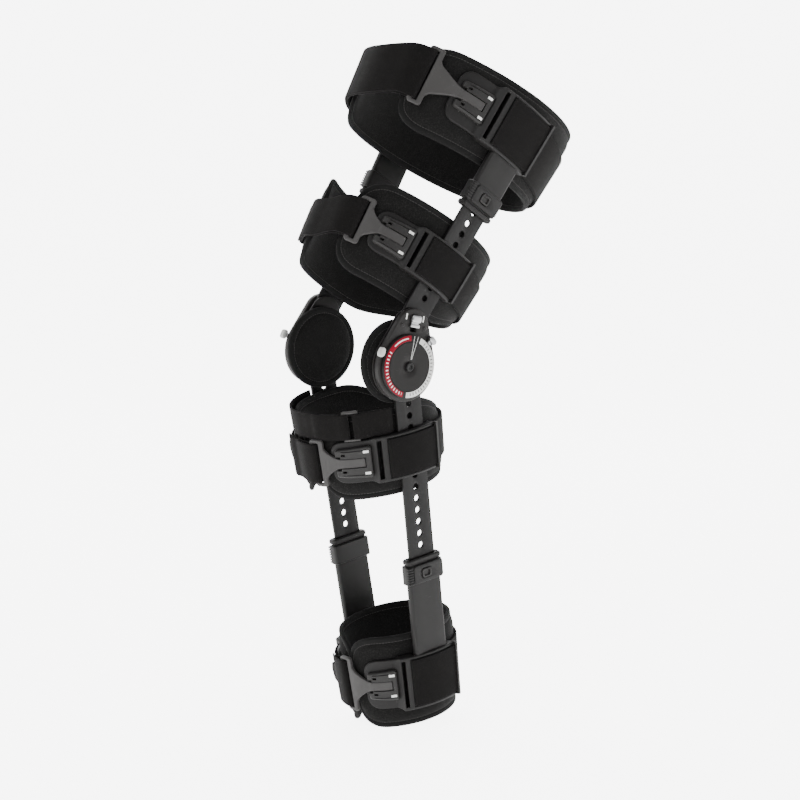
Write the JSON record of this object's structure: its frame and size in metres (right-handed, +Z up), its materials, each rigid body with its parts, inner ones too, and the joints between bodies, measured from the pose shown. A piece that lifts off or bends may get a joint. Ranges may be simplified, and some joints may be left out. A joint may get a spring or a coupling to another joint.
{
  "type": "post-operative knee brace",
  "caption": "Hinged post-operative knee brace with padded cuffs on telescoping side bars, quick-release strap hooks and geared hinge heads with setting dials, flexed as worn.",
  "frame": {"origin": "knee centre, midway between the two dials on their common axis", "axes": "+Z up, +X to the outer side that carries the catches, -Y to the front"},
  "size_m": [0.1922, 0.313, 0.6682],
  "materials": {
    "pad_cloth": "brushed loop cloth over foam, bound at the edge",
    "webbing": "fine loop-faced strap",
    "plate_plastic": "moulded charcoal plastic",
    "hook_plastic": "moulded grey plastic",
    "upright_paint": "black coated flat bar",
    "head_plastic": "black moulded plastic",
    "dial_plastic": "dark plastic with a printed scale",
    "bright_metal": "plated metal",
    "white_plastic": "white moulded plastic"
  },
  "bodies": {
    "thigh": {"upper_thigh_inner_sleeve_plate": "plate_plastic", "upper_thigh_inner_clip": "head_plastic", "lower_thigh_inner_plate": "plate_plastic", "inner_thigh_bar": "upright_paint", "upper_thigh_pad": "pad_cloth", "upper_thigh_outer_sleeve_plate": "plate_plastic", "upper_thigh_outer_clip": "head_plastic", "upper_thigh_catch": "plate_plastic", "upper_thigh_hook": "hook_plastic", "upper_thigh_front_strap": "webbing", "upper_thigh_back_strap": "webbing", "lower_thigh_pad": "pad_cloth", "lower_thigh_outer_plate": "plate_plastic", "lower_thigh_catch": "plate_plastic", "lower_thigh_hook": "hook_plastic", "lower_thigh_front_strap": "webbing", "lower_thigh_back_strap": "webbing", "outer_thigh_bar": "upright_paint"},
    "hinge_heads": {"inner_hinge_head": "head_plastic", "inner_dial": "dial_plastic", "inner_dial_screw": "head_plastic", "inner_condyle_pad": "pad_cloth", "outer_hinge_head": "head_plastic", "outer_dial": "dial_plastic", "outer_dial_screw": "head_plastic", "outer_condyle_pad": "pad_cloth"},
    "calf": {"upper_calf_inner_plate": "plate_plastic", "lower_calf_inner_sleeve_plate": "plate_plastic", "lower_calf_inner_clip": "head_plastic", "inner_calf_bar": "upright_paint", "upper_calf_pad": "pad_cloth", "upper_calf_outer_plate": "plate_plastic", "upper_calf_catch": "plate_plastic", "upper_calf_hook": "hook_plastic", "upper_calf_front_strap": "webbing", "upper_calf_back_strap": "webbing", "tibial_strap": "webbing", "tibial_strap_ring": "hook_plastic", "lower_calf_pad": "pad_cloth", "lower_calf_outer_sleeve_plate": "plate_plastic", "lower_calf_outer_clip": "head_plastic", "lower_calf_catch": "plate_plastic", "lower_calf_hook": "hook_plastic", "lower_calf_front_strap": "webbing", "lower_calf_back_strap": "webbing", "outer_calf_bar": "upright_paint"},
    "upper_thigh_inner_button": {"upper_thigh_inner_button": "plate_plastic"},
    "upper_thigh_outer_button": {"upper_thigh_outer_button": "plate_plastic"},
    "inner_lock_slider": {"inner_lock_slider": "bright_metal"},
    "inner_front_stop_tab": {"inner_front_stop_tab": "white_plastic"},
    "inner_back_stop_tab": {"inner_back_stop_tab": "bright_metal"},
    "outer_lock_slider": {"outer_lock_slider": "bright_metal"},
    "outer_front_stop_tab": {"outer_front_stop_tab": "white_plastic"},
    "outer_back_stop_tab": {"outer_back_stop_tab": "bright_metal"},
    "lower_calf_inner_button": {"lower_calf_inner_button": "plate_plastic"},
    "lower_calf_outer_button": {"lower_calf_outer_button": "plate_plastic"}
  },
  "joints": [
    {"name": "knee_upper_pivot", "type": "hinge", "parent": "thigh", "child": "hinge_heads", "pos_m": [0, 0.00795, 0.03511], "axis": [1, 0, 0], "range_deg": [-21.25, 21.25]},
    {"name": "knee_lower_pivot", "type": "hinge", "parent": "hinge_heads", "child": "calf", "pos_m": [0, 0.00132, 0.00585], "axis": [1, 0, 0], "range_deg": [-21.25, 21.25]},
    {"name": "outer_lock_slide", "type": "slide", "parent": "hinge_heads", "child": "outer_lock_slider", "axis": [0, 0.2207, 0.9753], "range_m": [-0.0035, 0]},
    {"name": "outer_front_stop_set", "type": "hinge", "parent": "hinge_heads", "child": "outer_front_stop_tab", "pos_m": [0, 0, 0], "axis": [1, 0, 0], "range_deg": [-40, 60]},
    {"name": "outer_back_stop_set", "type": "hinge", "parent": "hinge_heads", "child": "outer_back_stop_tab", "pos_m": [0, 0, 0], "axis": [1, 0, 0], "range_deg": [-80, 7]},
    {"name": "inner_lock_slide", "type": "slide", "parent": "hinge_heads", "child": "inner_lock_slider", "axis": [0, 0.2207, 0.9753], "range_m": [-0.0035, 0]},
    {"name": "inner_front_stop_set", "type": "hinge", "parent": "hinge_heads", "child": "inner_front_stop_tab", "pos_m": [0, 0, 0], "axis": [1, 0, 0], "range_deg": [-40, 60]},
    {"name": "inner_back_stop_set", "type": "hinge", "parent": "hinge_heads", "child": "inner_back_stop_tab", "pos_m": [0, 0, 0], "axis": [1, 0, 0], "range_deg": [-80, 7]},
    {"name": "upper_thigh_outer_button_push", "type": "slide", "parent": "thigh", "child": "upper_thigh_outer_button", "axis": [-0.9957, 0.0517, 0.0766], "range_m": [0, 0.0015], "stiffness_N_per_m": 600},
    {"name": "upper_thigh_inner_button_push", "type": "slide", "parent": "thigh", "child": "upper_thigh_inner_button", "axis": [0.9957, 0.0517, 0.0766], "range_m": [0, 0.0015], "stiffness_N_per_m": 600},
    {"name": "lower_calf_outer_button_push", "type": "slide", "parent": "calf", "child": "lower_calf_outer_button", "axis": [-0.9988, -0.0072, 0.0483], "range_m": [0, 0.0015], "stiffness_N_per_m": 600},
    {"name": "lower_calf_inner_button_push", "type": "slide", "parent": "calf", "child": "lower_calf_inner_button", "axis": [0.9988, -0.0072, 0.0483], "range_m": [0, 0.0015], "stiffness_N_per_m": 600}
  ],
  "couplings": [
    {"joint": "knee_lower_pivot", "follows": "knee_upper_pivot", "ratio": 1}
  ]
}
